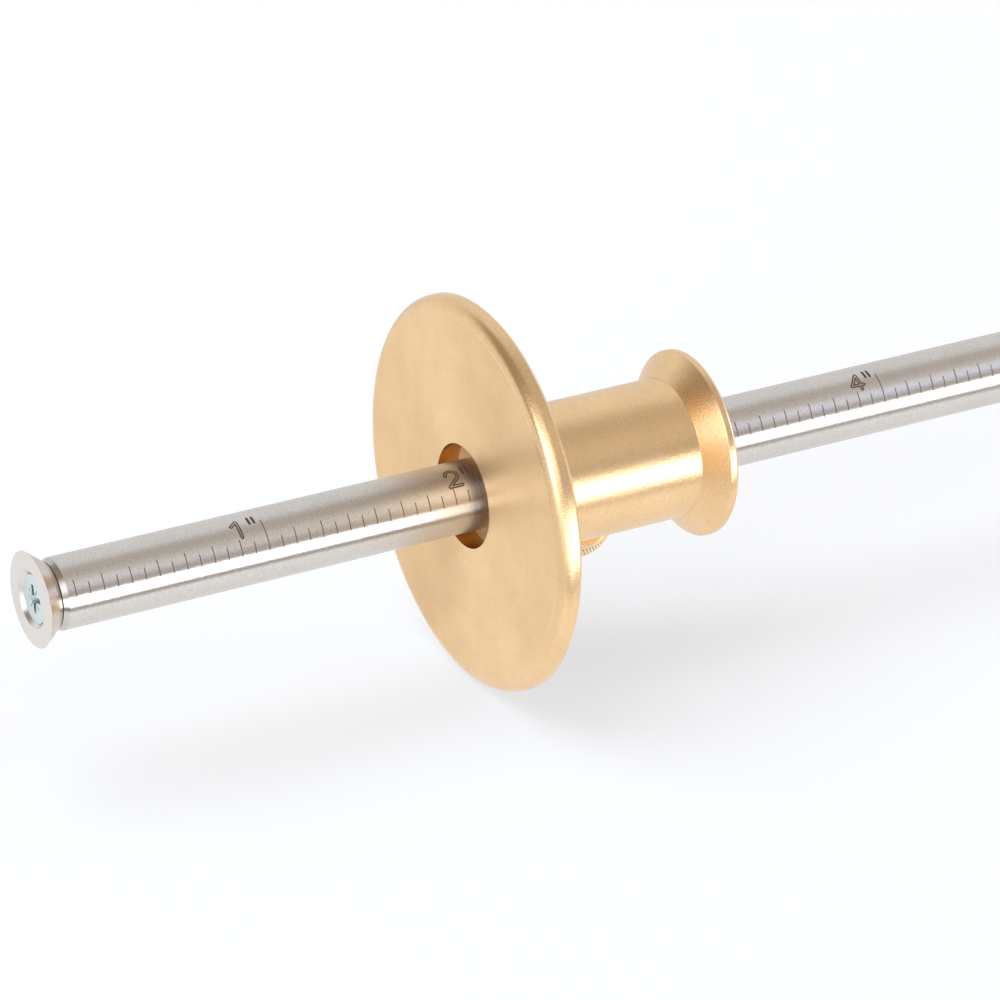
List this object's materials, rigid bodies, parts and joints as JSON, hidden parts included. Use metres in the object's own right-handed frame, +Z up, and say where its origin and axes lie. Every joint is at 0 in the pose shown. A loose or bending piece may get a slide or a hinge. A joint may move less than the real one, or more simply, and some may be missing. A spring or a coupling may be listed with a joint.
{
  "type": "wheel marking gauge",
  "caption": "Wheel marking gauge: a graduated steel rod with a bevelled cutting wheel on its end slides and locks in a turned brass head with a round flat fence.",
  "frame": {"origin": "centre of the fence's flat working face, on the rod's axis", "axes": "+X along the rod from the fence toward the rod's tail, so the cutter lies toward -X; +Z up with the rod level"},
  "size_m": [0.2051, 0.0436, 0.0436],
  "materials": {
    "turned_brass": "fine turned satin",
    "nitrile": "matte",
    "ground_steel": "ground and polished",
    "tool_steel": "fine ground",
    "zinc_plate": "bright zinc",
    "knurled_brass": "knurled, bright",
    "nylon": "plain"
  },
  "bodies": {
    "head": {"fence_head": "turned_brass"},
    "ring": {"friction_ring": "nitrile"},
    "rod": {"graduated_rod": "ground_steel", "cutter_screw": "zinc_plate"},
    "cutter": {"cutter_wheel": "tool_steel"},
    "pad": {"clamp_pad": "nylon"},
    "lock": {"lock_screw": "knurled_brass"}
  },
  "joints": [
    {"name": "rod_turn", "type": "hinge", "parent": "head", "child": "ring", "pos_m": [0, 0, 0], "axis": [1, 0, 0], "continuous": true},
    {"name": "rod_slide", "type": "slide", "parent": "ring", "child": "rod", "axis": [1, 0, 0], "range_m": [-0.123, 0.0511]},
    {"name": "cutter_turn", "type": "hinge", "parent": "rod", "child": "cutter", "pos_m": [-0.0506, 0, 0], "axis": [1, 0, 0], "continuous": true},
    {"name": "lock_advance", "type": "slide", "parent": "head", "child": "pad", "axis": [0, 0.6018, -0.7986], "range_m": [0, 0.00105]},
    {"name": "lock_turn", "type": "hinge", "parent": "pad", "child": "lock", "pos_m": [0.0155, 0, 0], "axis": [0, 0.6018, -0.7986], "range_deg": [0, 540.5]}
  ],
  "couplings": [
    {"joint": "lock_turn", "follows": "lock_advance", "rad_per_m": 8976}
  ]
}
